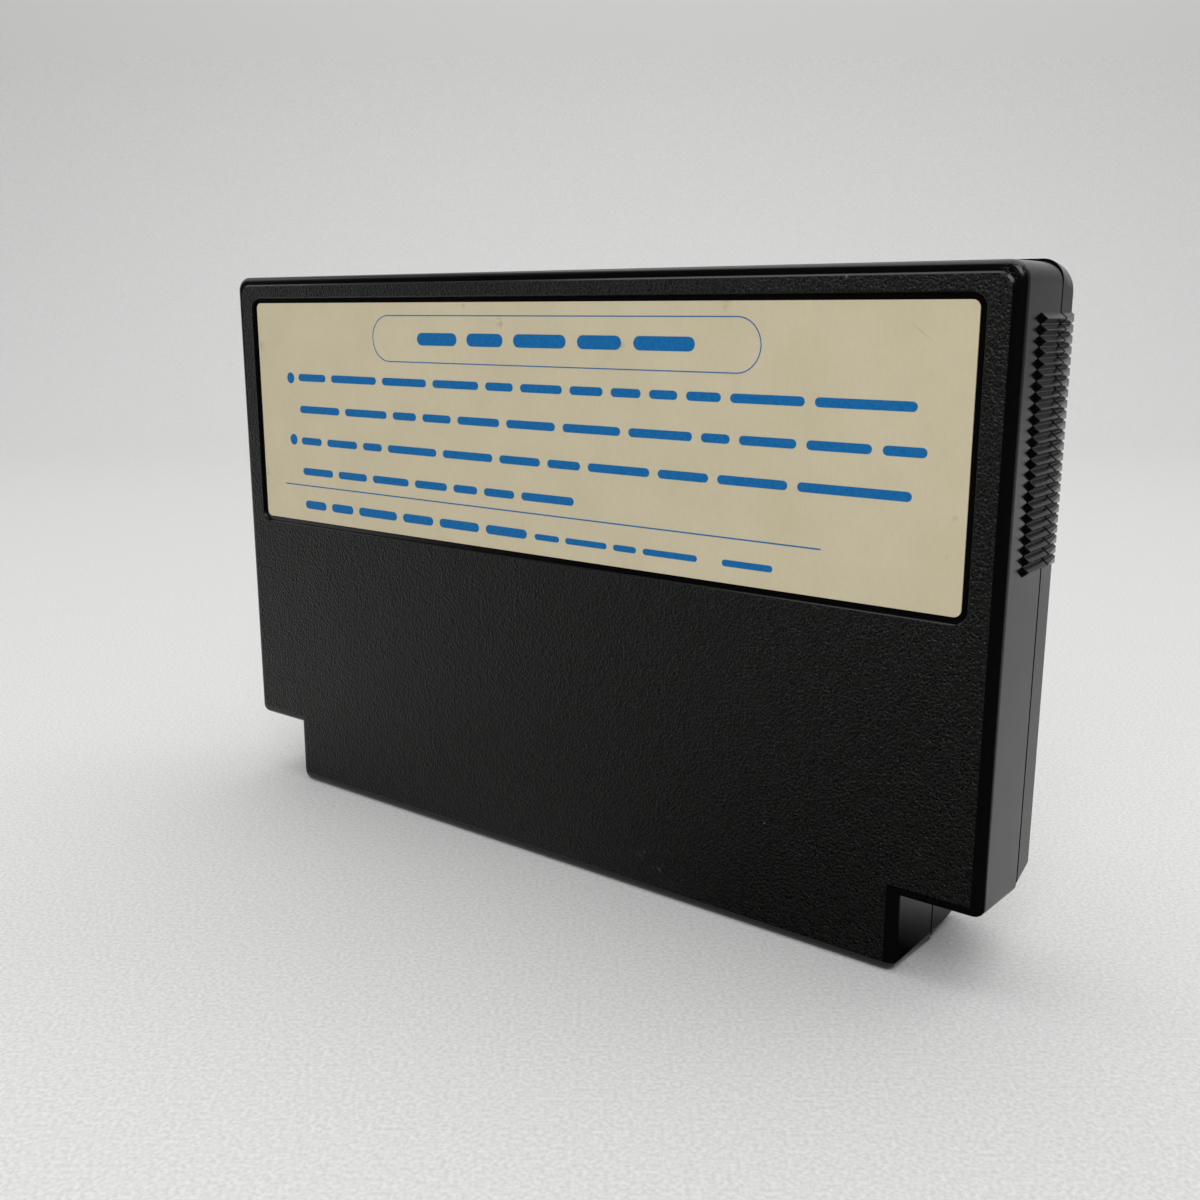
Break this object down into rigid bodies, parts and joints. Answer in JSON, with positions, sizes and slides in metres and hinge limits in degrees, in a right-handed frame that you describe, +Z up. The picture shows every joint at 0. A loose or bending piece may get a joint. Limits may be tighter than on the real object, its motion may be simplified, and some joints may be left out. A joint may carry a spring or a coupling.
{
  "type": "game cartridge",
  "caption": "Flat game cartridge: two snapped plastic half shells with ribbed side grips and an open neck, round a circuit board whose edge contacts plug into a console.",
  "frame": {"origin": "middle of the box's footprint, level with the rim of the neck that the cartridge stands on", "axes": "+X across the width, +Y from the stickered rear face to the bevelled front face, +Z up, away from the contacts"},
  "size_m": [0.1106, 0.017, 0.0706],
  "materials": {
    "case_plastic": "black moulded plastic, grained on the rear face and glossy on the edges",
    "label_paper": "cream paper, slightly yellowed",
    "label_ink": "blue print",
    "board_laminate": "green solder mask",
    "contact_gold": "gold plate",
    "chip_resin": "moulded resin",
    "lead_metal": "tinned",
    "can_aluminium": "drawn",
    "sleeve_plastic": "shrunk sleeve",
    "bung_rubber": "moulded",
    "ceramic_coat": "dipped"
  },
  "bodies": {
    "root": {"rear_shell": "case_plastic", "front_shell": "case_plastic", "rear_label": "label_paper", "circuit_board": "board_laminate", "rear_edge_contacts": "contact_gold", "front_edge_contacts": "contact_gold", "program_memory": "chip_resin", "program_memory_leads": "lead_metal", "picture_memory": "chip_resin", "picture_memory_leads": "lead_metal", "bank_latch": "chip_resin", "bank_latch_leads": "lead_metal", "gate_chip": "chip_resin", "gate_chip_leads": "lead_metal", "capacitor_can": "can_aluminium", "capacitor_sleeve": "sleeve_plastic", "capacitor_bung": "bung_rubber", "capacitor_leads": "lead_metal", "ceramic_capacitors": "ceramic_coat", "ceramic_capacitor_leads": "lead_metal"}
  },
  "joints": []
}
